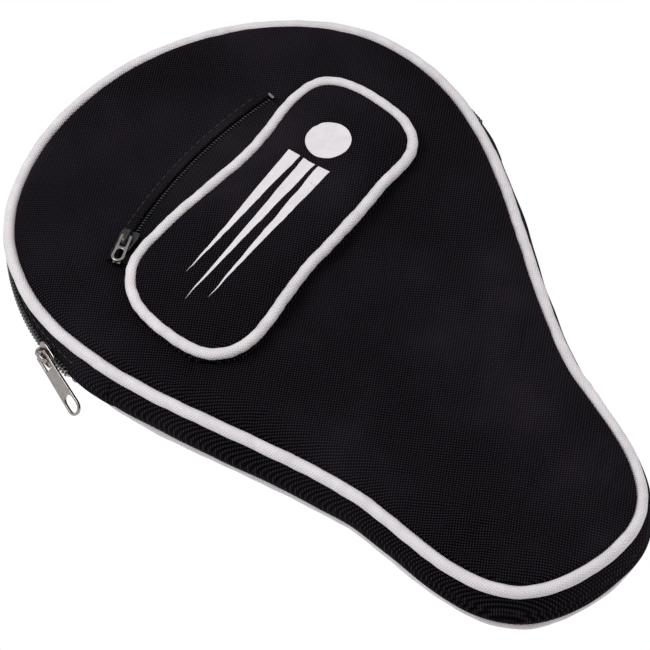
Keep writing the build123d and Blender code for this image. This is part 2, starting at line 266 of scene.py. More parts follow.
def swept(name, rings, material, closed):
    """Skin over a list of closed rings of points, with caps when the path is open."""
    rings = np.asarray(rings, float)
    count, sides = rings.shape[:2]
    faces = grid_faces(count, sides, wrap_rows=closed, wrap_columns=True)
    run = np.linalg.norm(np.diff(rings.mean(axis=1), axis=0), axis=1)
    along = np.r_[0, np.cumsum(run)]
    total = along[-1] + run[-1] if closed else along[-1]
    around = np.linalg.norm(np.roll(rings[0], -1, 0) - rings[0], axis=1)
    across = np.r_[0, np.cumsum(around)]
    uvs = []
    for face_index in range(len(faces)):
        i, j = divmod(face_index, sides)
        u0, u1 = along[i], along[i + 1] if i + 1 < count else total
        v0, v1 = across[j], across[j + 1]
        uvs += [(u0, v0), (u0, v1), (u1, v1), (u1, v0)]
    if not closed:
        faces += [tuple(range(sides))[::-1], tuple((count - 1) * sides + k for k in range(sides))]
        uvs += [(0.0, float(k)) for k in range(2 * sides)]
    return make_mesh(name, rings.reshape(-1, 3), faces, material, uvs)


def lay_sections(path, normals, sections):
    """Rings from flat path points, outward normals and (out, z) sections."""
    sections = np.asarray(sections, float)
    if sections.ndim == 2:
        sections = np.repeat(sections[None], len(path), axis=0)
    flat = path[:, None, :] + normals[:, None, :] * sections[:, :, :1]
    return np.concatenate([flat, sections[:, :, 1:]], axis=2)


def round_section(radius, z, sides=18):
    turn = np.linspace(0, 2 * math.pi, sides, endpoint=False)
    return np.stack([radius * np.cos(turn), z + radius * np.sin(turn)], axis=1)


def wire(name, path, radius, material, sides=7, closed=False):
    """Thin round wire along any path in space."""
    path = np.asarray(path, float)
    run = np.gradient(path, axis=0)
    run /= np.linalg.norm(run, axis=1)[:, None]
    side = np.cross(run[0], [0.31, 0.17, 0.93])
    rings = []
    turn = np.linspace(0, 2 * math.pi, sides, endpoint=False)
    for point, direction in zip(path, run):
        side = side - direction * np.dot(side, direction)
        side /= np.linalg.norm(side)
        other = np.cross(direction, side)
        rings.append(point + radius * (np.cos(turn)[:, None] * side + np.sin(turn)[:, None] * other))
    return swept(name, rings, material, closed)


def join(name, pieces):
    """One mesh object out of several."""
    bpy.ops.object.select_all(action="DESELECT")
    for piece in pieces:
        piece.select_set(True)
    bpy.context.view_layer.objects.active = pieces[0]
    bpy.ops.object.join()
    pieces[0].name = name
    return pieces[0]


# ---- Materials ----
class Nodes:
    """Short way to add and link shader nodes in one material."""

    def __init__(self, name):
        self.material = bpy.data.materials.new(name)
        self.material.use_nodes = True
        self.tree = self.material.node_tree
        self.shader = self.tree.nodes["Principled BSDF"]

    def add(self, kind, **settings):
        node = self.tree.nodes.new(kind)
        for key, value in settings.items():
            setattr(node, key, value)
        return node

    def link(self, source, target):
        self.tree.links.new(source, target)

    def math(self, operation, first, second):
        node = self.add("ShaderNodeMath", operation=operation)
        for socket, value in zip(node.inputs, (first, second)):
            if hasattr(value, "is_linked"):
                self.link(value, socket)
            else:
                socket.default_value = value
        return node.outputs[0]

    def waves(self, coordinates, scale, turn):
        """Bands across the coordinates, scale per unit, turned about Z."""
        mapping = self.add("ShaderNodeMapping")
        mapping.inputs["Rotation"].default_value = (0, 0, math.radians(turn))
        mapping.inputs["Scale"].default_value = (scale, scale, scale)
        self.link(coordinates, mapping.inputs["Vector"])
        wave = self.add("ShaderNodeTexWave", wave_type="BANDS", bands_direction="X")
        wave.inputs["Scale"].default_value = 1.0
        wave.inputs["Distortion"].default_value = 0.35
        wave.inputs["Detail"].default_value = 1.0
        self.link(mapping.outputs[0], wave.inputs["Vector"])
        return wave.outputs["Fac"]

    def noise(self, coordinates, scale, detail=3.0):
        node = self.add("ShaderNodeTexNoise")
        node.inputs["Scale"].default_value = scale
        node.inputs["Detail"].default_value = detail
        self.link(coordinates, node.inputs["Vector"])
        return node.outputs["Fac"]

    def colour(self, factor, dark, light):
        mix = self.add("ShaderNodeMix", data_type="RGBA")
        self.link(factor, mix.inputs["Factor"])
        mix.inputs["A"].default_value = (*dark, 1)
        mix.inputs["B"].default_value = (*light, 1)
        self.link(mix.outputs["Result"], self.shader.inputs["Base Color"])

    def roughness(self, factor, low, high):
        span = self.add("ShaderNodeMapRange")
        span.inputs["To Min"].default_value = low
        span.inputs["To Max"].default_value = high
        self.link(factor, span.inputs["Value"])
        self.link(span.outputs["Result"], self.shader.inputs["Roughness"])

    def bump(self, height, strength, distance):
        node = self.add("ShaderNodeBump")
        node.inputs["Strength"].default_value = strength
        node.inputs["Distance"].default_value = distance
        self.link(height, node.inputs["Height"])
        self.link(node.outputs["Normal"], self.shader.inputs["Normal"])

    def place(self, output="Object"):
        return self.add("ShaderNodeTexCoord").outputs[output]


# Distance between two bands of the wave texture at scale 1.
BAND_PERIOD = 0.314


def woven_fabric(name, dark, light, thread, turn=45, bump=0.5, sheen=0.03):
    """Plain or twill weave with painted thread highlights in its colour; thread is the pitch of the
    threads in metres.
    """
    kit = Nodes(name)
    place = kit.place()
    warp = kit.waves(place, BAND_PERIOD / thread, turn)
    weft = kit.waves(place, BAND_PERIOD / thread, turn + 90)
    weave = kit.math("POWER", kit.math("MULTIPLY", warp, weft), 2.0)
    cloud = kit.math("POWER", kit.noise(place, 16.0), 4.0)
    grain = kit.noise(place, 900.0, 2.0)
    # Painted thread highlights: the weave's crossings are coloured lighter, varied by random grain.
    thread_highlights_and_grain = kit.math("MULTIPLY", weave, kit.math("ADD", grain, 0.5))
    shade = kit.math("ADD", thread_highlights_and_grain, kit.math("MULTIPLY", cloud, 0.9))
    kit.colour(shade, dark, light)
    kit.roughness(grain, 0.72, 0.95)
    kit.bump(kit.math("ADD", weave, kit.math("MULTIPLY", grain, 0.5)), bump, thread * 0.5)
    kit.shader.inputs["Specular IOR Level"].default_value = 0.02
    kit.shader.inputs["Sheen Weight"].default_value = sheen
    kit.shader.inputs["Sheen Roughness"].default_value = 0.45
    return kit.material


def piping_cloth(name):
    """Pale cover tape woven with threads that cross the cord."""
    kit = Nodes(name)
    place = kit.place("UV")
    ribs = kit.waves(place, BAND_PERIOD / 1.0, 62)
    crossing = kit.waves(place, BAND_PERIOD / 0.9, -28)
    weave = kit.math("MULTIPLY", ribs, crossing)
    marks = kit.noise(kit.place(), 160.0)
    # Painted rib shading: the weave's bands colour the tape lighter and darker; the random marks are the
    # cloth's own tone.
    shade = kit.math("ADD", kit.math("MULTIPLY", weave, 0.5), kit.math("MULTIPLY", marks, 0.5))
    kit.colour(shade, (0.40, 0.375, 0.39), (0.82, 0.775, 0.80))
    kit.roughness(weave, 0.7, 0.9)
    kit.bump(weave, 0.65, 0.0003)
    kit.shader.inputs["Specular IOR Level"].default_value = 0.25
    kit.shader.inputs["Sheen Weight"].default_value = 0.1
    return kit.material


def nylon(name, dark, light, low, high):
    kit = Nodes(name)
    place = kit.place()
    kit.colour(kit.noise(place, 500.0), dark, light)
    kit.roughness(kit.noise(place, 1500.0), low, high)
    return kit.material


def nickel(name):
    """Polished nickel with fine scratches and slightly dulled patches."""
    kit = Nodes(name)
    place = kit.place()
    patches = kit.noise(place, 260.0)
    mapping = kit.add("ShaderNodeMapping")
    mapping.inputs["Scale"].default_value = (2500.0, 260.0, 900.0)
    kit.link(place, mapping.inputs["Vector"])
    scratches = kit.noise(mapping.outputs[0], 1.0, 4.0)
    kit.colour(patches, (0.20, 0.18, 0.17), (0.42, 0.39, 0.375))
    kit.roughness(kit.math("MULTIPLY", patches, scratches), 0.12, 0.42)
    kit.bump(scratches, 0.08, 0.0001)
    kit.shader.inputs["Metallic"].default_value = 1.0
    return kit.material


def ink(name):
    """Flexible screen-print ink that lets a little of the weave through."""
    kit = Nodes(name)
    place = kit.place()
    weave = kit.waves(place, BAND_PERIOD / 0.0009, 45)
    kit.colour(kit.noise(place, 300.0), (0.50, 0.47, 0.49), (0.62, 0.585, 0.61))
    kit.roughness(weave, 0.5, 0.7)
    kit.bump(weave, 0.25, 0.0001)
    return kit.material


# Woven cloths: the second colour is the lighter tone reached at the painted thread highlights and in the
# random cloudy patches.
FABRIC_COLOURS = (0.0004, 0.0003, 0.0005), (0.033, 0.026, 0.037)
FABRIC = woven_fabric("black_polyester", *FABRIC_COLOURS, 0.0010, sheen=0.0)
TAPE_COLOURS = (0.0008, 0.0007, 0.001), (0.030, 0.027, 0.033)
TAPE = woven_fabric("zip_tape_cloth", *TAPE_COLOURS, 0.0010, turn=20, sheen=0.0)
LINING_COLOURS = (0.012, 0.012, 0.015), (0.035, 0.035, 0.042)
LINING_CLOTH = woven_fabric("lining_cloth", *LINING_COLOURS, 0.0006, turn=0)
BINDING = woven_fabric("binding_cloth", (0.01, 0.01, 0.012), (0.04, 0.04, 0.045), 0.0011, turn=10)
FOAM = nylon("padding_foam", (0.20, 0.20, 0.22), (0.32, 0.32, 0.34), 0.85, 0.98)
PIPING = piping_cloth("piping_cloth")
CORD = nylon("piping_cord", (0.60, 0.58, 0.54), (0.78, 0.76, 0.72), 0.8, 0.95)
COIL = nylon("zip_coil_nylon", (0.006, 0.006, 0.007), (0.016, 0.016, 0.018), 0.14, 0.3)
THREAD = nylon("black_thread", (0.004, 0.004, 0.005), (0.016, 0.015, 0.018), 0.6, 0.8)
METAL = nickel("polished_nickel")
ENAMEL = nylon("black_enamel", (0.004, 0.004, 0.005), (0.010, 0.010, 0.012), 0.25, 0.4)
INK = ink("print_ink")


# ---- Panels: concentric grid from the sewn edge to the spine ----
SPINE_LOW, SPINE_HIGH = -112.0, 54.0


class Field:
    """A grid of points that fills an outline, closing on a straight spine."""

    def __init__(self, edge, spine, rings):
        self.edge = edge
        self.rings = rings
        self.count = len(edge)
        start, end = np.array(spine[0], float), np.array(spine[1], float)
        run = end - start
        share = np.clip((edge - start) @ run / (run @ run), 0, 1)
        core = start + share[:, None] * run
        steps = np.linspace(0, 1, rings) ** 0.85
        steps = steps[:, None, None]
        self.flat = edge[None] * (1 - steps) + core[None] * steps
        self.flat = self.flat.reshape(-1, 2)
        reach = np.linalg.norm(edge - core, axis=1)
        self.depth = (steps[:, :, 0] * reach[None]).reshape(-1)
        self.faces = grid_faces(rings, self.count, wrap_columns=True)

    def solid(self, name, top, bottom, material):
        """Closed body between two height lists over the grid."""
        size = len(self.flat)
        points = np.vstack([np.c_[self.flat, top], np.c_[self.flat, bottom]])
        upper = [face[::-1] for face in self.faces]
        lower = [tuple(index + size for index in face) for face in self.faces]
        rim = []
        for j in range(self.count):
            after = (j + 1) % self.count
            rim.append((j, after, after + size, j + size))
        piece = make_mesh(name, points, upper + lower + rim, material)
        return weld(piece)


def weld(piece):
    """Closes the seam where the grid's last ring meets itself."""
    work = bmesh.new()
    work.from_mesh(piece.data)
    bmesh.ops.remove_doubles(work, verts=work.verts, dist=0.02 * MM)
    bmesh.ops.dissolve_degenerate(work, dist=0.005 * MM, edges=work.edges)
    bmesh.ops.recalc_face_normals(work, faces=work.faces)
    work.to_mesh(piece.data)
    work.free()
    return piece


def shoulder(depth, width, power=2.3):
    """Height share from 0 at the sewn edge to 1 on the flat, with a round shoulder."""
    share = np.clip(depth / width, 0, 1)
    return (1 - (1 - share) ** power) ** (1 / power)


def inflate(name, field, heights, pressure, slack, cap):
    """Puffs a panel with a cloth simulation and returns its new heights."""
    points = np.c_[field.flat, heights]
    piece = weld(make_mesh(name, points, field.faces, FABRIC))
    mesh = piece.data
    start = np.array([v.co for v in mesh.vertices])
    edges = {}
    for polygon in mesh.polygons:
        for key in polygon.edge_keys:
            edges[key] = edges.get(key, 0) + 1
    rim = sorted({v for key, uses in edges.items() if uses == 1 for v in key})
    group = piece.vertex_groups.new(name="sewn_edge")
    group.add(rim, 1.0, "REPLACE")
    cloth = piece.modifiers.new("cloth", "CLOTH")
    settings = cloth.settings
    settings.quality = 6
    settings.mass = 0.25
    settings.tension_stiffness = 25
    settings.compression_stiffness = 25
    settings.shear_stiffness = 12
    settings.bending_stiffness = 1.2
    settings.use_pressure = True
    settings.uniform_pressure_force = pressure
    settings.shrink_min = -slack
    settings.vertex_group_mass = "sewn_edge"
    settings.effector_weights.gravity = 0
    cloth.collision_settings.use_collision = False
    scene = bpy.context.scene
    for step in range(1, 21):
        scene.frame_set(step)
    moved = piece.evaluated_get(bpy.context.evaluated_depsgraph_get()).to_mesh()
    lift = np.array([v.co for v in moved.vertices])[:, 2] - start[:, 2]
    lift = np.clip(np.nan_to_num(lift), -cap * MM, cap * MM) / MM
    scene.frame_set(1)
    lookup = nearest_point_tree(start[:, :2])
    bpy.data.objects.remove(piece)
    return heights + np.array([lift[lookup.find((x * MM, y * MM, 0))[1]] for x, y in field.flat])


def nearest_point_tree(flat):
    tree = KDTree(len(flat))
    for index, (x, y) in enumerate(flat):
        tree.insert((x, y, 0), index)
    tree.balance()
    return tree


def surface_under(points, field, heights):
    """Lowest height of a surface close to each flat point."""
    tree = nearest_point_tree(field.flat)
    lowest = []
    for x, y in points:
        near = tree.find_n((x, y, 0), 4)
        lowest.append(min(heights[index] for _, index, _ in near))
    return np.array(lowest)


def bend_at_fold(piece, slot, *nodes):
    """A front piece with its placement baked into its mesh; the CAD parts it replaces are hidden."""
    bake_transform(piece)
    if nodes:
        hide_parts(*nodes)


def fix(piece, body, slot, *nodes):
    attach(piece, body)
    if nodes:
        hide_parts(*nodes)


def inset(amount):
    return OUTLINE - NORMALS * amount


def back_inset(amount):
    return OUTLINE - NORMALS * (amount + tuck_at(OUTLINE)[:, None])


def front_heights(field, drop=0.0):
    """Front panel surface: round shoulder, then a nearly flat crown."""
    x, y = field.flat[:, 0], field.flat[:, 1]
    rise = FRONT_FACE_Z - FRONT_Z + 0.4
    heights = FRONT_Z - 0.4 + rise * shoulder(field.depth, 13.0)
    heights += 0.7 * smooth_step(field.depth / 60) - drop
    waves = 0.25 * ripple(x / 24 + y / 40, 2) * smooth_step(field.depth / 20)
    return heights + puckers(field, 0.35) + waves


def puckers(field, height):
    """Small gathers that run in from the seam and fade out."""
    angle = np.tile(np.arange(field.count) * 2 * math.pi / field.count, field.rings)
    gathers = ripple(angle * 23, 1) * ripple(angle * 7 + 1, 4)
    fade = np.exp(-((field.depth - 4) / 6) ** 2)
    return height * gathers * fade


def back_heights(field):
    rise = BACK_Z + 0.3
    return BACK_Z + 0.3 - rise * shoulder(field.depth, 12.0) + 0.25 * np.abs(puckers(field, 1.0))


def build_front_panel():
    field = Field(inset(SEWN_INSET), ((0, SPINE_LOW), (0, SPINE_HIGH)), 46)
    top = inflate("front", field, front_heights(field), pressure=3.0, slack=0.012, cap=1.6)
    panel = field.solid("front_panel_cloth", top, top - SHELL, FABRIC)
    bend_at_fold(panel, "shell_fabric", "front_panel", "flap_panel")
    inner = Field(inset(PADDING_INSET), ((0, SPINE_LOW), (0, SPINE_HIGH)), 24)
    upper = surface_under(inner.flat, field, top) - SHELL - 0.5
    low = upper - PADDING * smooth_step(inner.depth / 6) - 0.2
    padding = inner.solid("front_padding_sheet", upper, low, FOAM)
    bend_at_fold(padding, "padding_foam", "front_padding", "flap_padding")
    lining = inner.solid("front_lining_cloth", low - 0.1, low - 0.1 - LINING, LINING_CLOTH)
    bend_at_fold(lining, "lining_fabric", "front_lining", "flap_lining")
    return field, top


def build_back_panel():
    field = Field(back_inset(SEWN_INSET), ((0, SPINE_LOW), (0, SPINE_HIGH)), 36)
    low = back_heights(field)
    panel = field.solid("back_panel_cloth", low + SHELL, low, FABRIC)
    fix(panel, "case", "shell_fabric", "back_panel")
    inner = Field(back_inset(PADDING_INSET), ((0, SPINE_LOW), (0, SPINE_HIGH)), 20)
    base = BACK_Z - 1.6 - 1.9 * shoulder(inner.depth, 8.0)
    top = base + 0.4 + PADDING * smooth_step(inner.depth / 8)
    padding = inner.solid("back_padding_sheet", top, base, FOAM)
    fix(padding, "case", "padding_foam", "back_padding")
    wrinkle = 0.15 * ripple(inner.flat[:, 0] / 9 + inner.flat[:, 1] / 14, 5)
    lining = inner.solid("back_lining_cloth", top + 0.5 + wrinkle, top + 0.1 + wrinkle, LINING_CLOTH)
    fix(lining, "case", "lining_fabric", "back_lining")


def piping_rings(path, normals, z, seed, joint=None, size=PIPING_RADIUS):
    """Rings of piping with the slight lumps of hand-guided sewing."""
    count = len(path)
    turn = np.arange(count) * 2 * math.pi / count
    radius = size * (1 + 0.02 * ripple(turn * 31, seed) + 0.012 * ripple(turn * 77, seed + 2))
    if joint is not None:
        gap = np.linalg.norm(path - joint, axis=1)
        radius = radius * (1 + 0.06 * np.exp(-((gap - 3) / 1.6) ** 2) - 0.10 * np.exp(-(gap / 0.9) ** 2))
    sway = 0.18 * ripple(turn * 19, seed + 5)
    section = round_section(1.0, 0.0, 20)
    sections = np.repeat(section[None], count, axis=0) * radius[:, None, None]
    sections[:, :, 0] += sway[:, None]
    sections[:, :, 1] += z + 0.15 * ripple(turn * 13, seed + 7)[:, None]
    return lay_sections(path, normals, sections)


def build_piping():
    rings = piping_rings(OUTLINE, NORMALS, FRONT_Z, 3, np.array(PIPING_JOINT))
    front = swept("front_piping_cover", rings, PIPING, True)
    bend_at_fold(front, "piping_fabric", "front_piping", "flap_piping")
    back = swept("back_piping_cover", piping_rings(back_inset(0), NORMALS, BACK_Z, 8), PIPING, True)
    fix(back, "case", "piping_fabric", "back_piping")
    cord_section = round_section(1.5, 0.0, 10)
    for name, z in (("front", FRONT_Z), ("back", BACK_Z)):
        path = OUTLINE if name == "front" else back_inset(0)
        rings = lay_sections(path[::3], NORMALS[::3], cord_section + [0, z])
        cord = swept(f"{name}_piping_core", rings, CORD, True)
        if name == "front":
            bend_at_fold(cord, "piping_cord", "front_piping_cord", "flap_piping_cord")
        else:
            fix(cord, "case", "piping_cord", "back_piping_cord")


def build_bindings():
    """Ribbed tape folded over each seam inside the case."""
    for name, z, side in (("front", FRONT_Z, -1), ("back", BACK_Z, 1)):
        turn = np.linspace(0, 2 * math.pi, 14, endpoint=False)
        out = -6.2 + 3.4 * np.sign(np.cos(turn)) * np.abs(np.cos(turn)) ** 0.6
        height = z + side * 1.3 + 0.75 * np.sign(np.sin(turn)) * np.abs(np.sin(turn)) ** 0.6
        path = OUTLINE if name == "front" else back_inset(0)
        rings = lay_sections(path[::2], NORMALS[::2], np.stack([out, height], axis=1))
        tape = swept(f"{name}_seam_tape", rings, BINDING, True)
        if name == "front":
            bend_at_fold(tape, "binding_tape", "front_seam_binding", "flap_seam_binding")
        else:
            fix(tape, "case", "binding_tape", "back_seam_binding")


# ---- Side wall ----
def stretch(first, last):
    """Outline samples from one station to another, going clockwise."""
    indices = np.arange(first, last + 1) % STATIONS
    return OUTLINE[indices], NORMALS[indices]


RIGHT_END = int(np.argmax((OUTLINE[:, 0] > 0) & (OUTLINE[:, 1] < ZIP_END_Y)))
LEFT_END = STATIONS - RIGHT_END
HEAD = stretch(LEFT_END, STATIONS + RIGHT_END)
HANDLE = stretch(RIGHT_END, LEFT_END)


def wall_curve(share, bulge, low, high):
    """Rounded wall profile between the two seams: (out, z) for a share from 0 to 1."""
    z = low + (high - low) * share
    return bulge * np.sin(math.pi * share) ** 0.75, z


def wall_sections(path, normals, shares, thickness, extra=0.0, sag=0.0):
    """Closed wall sections over a range of shares, bulging as far as each station needs."""
    bulge = bulge_at(path, normals)
    tuck = tuck_at(path)
    low, high = BACK_Z + 0.3, FRONT_Z - 0.3
    count = len(path)
    place = np.arange(count) * 0.055
    sections = []
    for k in range(count):
        out, z = wall_curve(shares, bulge[k], low, high)
        out = out - tuck[k] * np.clip(1 - 2 * shares, 0, 1)
        out = out + extra + sag * ripple(place[k], 3) * np.sin(math.pi * shares)
        outer = np.stack([out, z], axis=1)
        inner = np.stack([out - thickness, z], axis=1)[::-1]
        sections.append(np.vstack([outer, inner]))
    return np.array(sections)


def build_side_wall():
    path, normals = HANDLE
    shares = np.linspace(0.0, 1.0, 15)
    sections = wall_sections(path, normals, shares, WALL, sag=0.5)
    crease = np.exp(-((np.linspace(0, 1, 15) - 0.56) / 0.07) ** 2)
    near_end = smooth_step((-path[:, 1] - 95) / 40)
    sections[:, :15, 0] -= 0.9 * crease[None] * near_end[:, None]
    sections[:, 15:, 0] -= 0.9 * crease[::-1][None] * near_end[:, None]
    gusset = swept("handle_side_wall", lay_sections(path, normals, sections), FABRIC, False)
    fix(gusset, "case", "shell_fabric", "handle_gusset")
    for name, station in (("right", RIGHT_END), ("left", LEFT_END)):
        span = (station - 3, station + 20) if name == "right" else (station - 20, station + 3)
        path, normals = stretch(*span)
        sections = wall_sections(path, normals, np.linspace(0.06, 0.94, 13), WALL, extra=0.4)
        tab = swept(f"side_wall_hem_{name}", lay_sections(path, normals, sections), FABRIC, False)
        fix(tab, "case", "shell_fabric", f"gusset_end_{name}")


COIL_GAP = 0.085


def build_zip_tapes():
    path, normals = HEAD
    halves = {"front": np.linspace(0.5 + COIL_GAP, 1.0, 9), "back": np.linspace(0.0, 0.5 - COIL_GAP, 9)}
    for name, shares in halves.items():
        sections = wall_sections(path, normals, shares, 0.6, sag=0.25)
        tape = swept(f"{name}_zip_cloth", lay_sections(path, normals, sections), TAPE, False)
        if name == "front":
            nodes = ("front_zip_tape_left", "front_zip_tape_right", "flap_zip_tape")
            bend_at_fold(tape, "zip_tape", *nodes)
        else:
            fix(tape, "case", "zip_tape", "back_zip_tape")


def coil_path(centre_line, side, up, width, depth, pitch, phase):
    """Wound filament beside a centre line; up and side are unit vectors per point."""
    length = np.r_[0, np.cumsum(np.linalg.norm(np.diff(centre_line, axis=0), axis=1))]
    turns = int(length[-1] / pitch)
    places = np.linspace(0, turns * pitch, turns * 9 + 1)
    angle = 2 * math.pi * (places / pitch + phase)
    line = at_lengths(places, length, centre_line)
    across = at_lengths(places, length, side)
    rise = at_lengths(places, length, up)
    return line + across * (width * np.cos(angle))[:, None] + rise * (depth * np.sin(angle))[:, None]


def build_main_coils():
    path, normals = HEAD
    path, normals = path[4:-4], normals[4:-4]
    bulge = bulge_at(path, normals)
    out = np.c_[normals, np.zeros(len(path))]
    up = np.tile([0.0, 0.0, 1.0], (len(path), 1))
    for name, side in (("front", 1), ("back", -1)):
        centre = np.c_[path + normals * (bulge + 0.25)[:, None], np.full(len(path), ZIP_Z + side * 1.25)]
        line = coil_path(centre, up, out, 1.5, 0.8, COIL_PITCH, 0.25 * side)
        coil = wire(f"{name}_coil_filament", line, COIL_WIRE, COIL)
        if name == "front":
            nodes = ("front_zip_coil_left", "front_zip_coil_right", "flap_zip_coil")
            bend_at_fold(coil, "zip_coil", *nodes)
        else:
            fix(coil, "case", "zip_coil", "back_zip_coil")


# ---- Pocket ----
POCKET_STATIONS = 420
POCKET_LOCAL = closed_spline(POCKET_OUTLINE[::-1], POCKET_STATIONS)
POCKET_LOCAL_OUT = outward(POCKET_LOCAL)
POCKET_EDGE = pocket_to_case(POCKET_LOCAL)
POCKET_OUT = outward(POCKET_EDGE)
POCKET_SPINE = pocket_to_case([(-42, 0), (42, 0)])
POCKET_FACE_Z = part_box("pocket_face")[1][2] / MM


def pocket_height(depth):
    """Pocket face height above the seam, for a depth in from the edge."""
    return POCKET_Z - 0.3 + (POCKET_FACE_Z - POCKET_Z + 0.1) * shoulder(depth, 13.0, 2.0)


def build_pocket_face():
    field = Field(POCKET_EDGE - POCKET_OUT * 1.0, POCKET_SPINE, 26)
    top = pocket_height(field.depth) + puckers(field, 0.2)
    top = inflate("pocket", field, top, pressure=2.0, slack=0.01, cap=0.8)
    face = field.solid("pocket_face_cloth", top, top - SHELL, FABRIC)
    fix(face, "case", "shell_fabric", "pocket_face")
    lining = field.solid("pocket_lining_cloth", top - 1.0, top - 1.3, LINING_CLOTH)
    fix(lining, "case", "lining_fabric", "pocket_lining")
    return field, top


def build_pocket_edge():
    joint = pocket_to_case([POCKET_PIPING_JOINT])[0]
    rings = piping_rings(POCKET_EDGE, POCKET_OUT, POCKET_Z, 11, joint, POCKET_PIPING_RADIUS)
    cover = swept("pocket_piping_cover", rings, PIPING, True)
    fix(cover, "case", "piping_fabric", "pocket_piping")
    rings = lay_sections(POCKET_EDGE[::2], POCKET_OUT[::2], round_section(1.5, POCKET_Z, 10))
    fix(swept("pocket_piping_core", rings, CORD, True), "case", "piping_cord", "pocket_piping_cord")


def on_zip_side(local):
    """Share of each pocket station that belongs to the zip's sloping tape."""
    return smooth_step((local[:, 1] - 12) / 8) * smooth_step((52 - np.abs(local[:, 0] + 1)) / 8)


def build_pocket_wall(front_field, front_top):
    """Upright wall that runs from the pocket's piping down into the front panel."""
    tree = nearest_point_tree(front_field.flat * MM)
    rings = []
    for point, normal, share in zip(POCKET_EDGE, POCKET_OUT, on_zip_side(POCKET_LOCAL)):
        foot = point + normal * 1.6
        ground = front_top[tree.find((foot[0] * MM, foot[1] * MM, 0))[1]] - 0.7
        top = POCKET_Z - 1.2
        swell = (1 - share) * 1.0
        profile = []
        for k in np.linspace(0, 1, 7):
            out = 0.2 + swell * math.sin(math.pi * k) + 1.2 * k * (1 - share)
            profile.append((out, top + (ground - top) * k))
        inner = [(out - 0.8, z) for out, z in reversed(profile)]
        rings.append([(*(point + normal * out), z) for out, z in profile + inner])
    wall = swept("pocket_wall_cloth", rings, FABRIC, True)
    fix(wall, "case", "shell_fabric", "pocket_wall")


def pocket_arc(radius, start, end, count):
    """Arc about the pocket zip's centre, in case axes, with its outward unit vectors."""
    lean = math.atan2(ACROSS[1], ACROSS[0])
    angles = lean - np.radians(np.linspace(start, end, count))
    out = np.stack([np.cos(angles), np.sin(angles)], axis=1)
    return POCKET_ZIP_PIVOT[:2] + out * radius, out


def build_pocket_zip():
    """Sloping tape, coils and the strip that joins them to the front panel."""
    half = POCKET_ZIP_HALF_ANGLE
    line, out = pocket_arc(POCKET_ZIP_RADIUS - 1.7, -half, half, 120)
    climb = POCKET_Z - 1.4 - POCKET_ZIP_Z
    rings = []
    for point, direction in zip(line, out):
        span = ray_to_pocket(point, direction)
        foot = point - direction * span
        profile = []
        for k in np.linspace(0, 1, 9):
            place = point + (foot - point) * k
            z = POCKET_ZIP_Z + 0.35 + climb * k**1.3 - 0.5 * math.sin(math.pi * k)
            profile.append((*place, z))
        under = [(x, y, z - 0.55) for x, y, z in reversed(profile)]
        rings.append(profile + under)
    tape = swept("pocket_zip_cloth_inner", rings, TAPE, False)
    fix(tape, "case", "zip_tape", "pocket_zip_tape_inner")
    line, out = pocket_arc(POCKET_ZIP_RADIUS + 1.6, -half, half, 120)
    lip = np.array(POCKET_LIP)
    profile = np.vstack([lip, lip[::-1] - [0, 0.4]]) + [0, POCKET_ZIP_Z]
    outer = swept("pocket_zip_cloth_outer", lay_sections(line, out, profile), FABRIC, False)
    fix(outer, "case", "shell_fabric", "pocket_zip_tape_outer")
    for name, side in (("inner", -1), ("outer", 1)):
        line, out = pocket_arc(POCKET_ZIP_RADIUS + side * 1.1, -half + 0.2, half - 0.2, 160)
        centre = np.c_[line, np.full(len(line), POCKET_ZIP_Z + 0.15)]
        up = np.tile([0.0, 0.0, 1.0], (len(line), 1))
        away = np.c_[out, np.zeros(len(out))]
        path = coil_path(centre, away, up, 0.65, 0.6, POCKET_COIL_PITCH, 0.25 * side)
        coil = wire(f"pocket_coil_filament_{name}", path, POCKET_COIL_WIRE, COIL)
        fix(coil, "case", "zip_coil", f"pocket_zip_coil_{name}")


def ray_to_pocket(point, direction):
    """Distance from a point on the zip back to the pocket's piping."""
    ahead = (point - POCKET_EDGE) @ direction
    aside = np.abs((POCKET_EDGE - point) @ np.array([-direction[1], direction[0]]))
    near = (aside < 1.2) & (ahead > 0)
    if not near.any():
        return 3.0
    return max(float(ahead[near].min()) - 0.6, 1.0)


# ---- Printed graphic ----
def build_print(field, top):
    """Ball and three speed stripes, laid on the pocket's crowned face."""
    tree = nearest_point_tree(field.flat * MM)
    shapes = []
    turn = np.linspace(0, 2 * math.pi, 48, endpoint=False)
    shapes.append([(BALL_X + BALL_RADIUS * math.cos(a), BALL_RADIUS * math.sin(a)) for a in turn])
    right = BALL_X - BALL_RADIUS - STRIPE_GAP
    for row, left in enumerate(STRIPE_LEFT):
        y = (1 - row) * STRIPE_PITCH
        shapes.append([(left, y), (right, y + STRIPE_HEIGHT / 2), (right, y - STRIPE_HEIGHT / 2)])
    pieces = []
    for index, shape in enumerate(shapes):
        pieces.append(printed_shape(f"print_{index}", shape, tree, top))
    fix(join("pocket_print_ink", pieces), "case", "print_ink", "pocket_print")


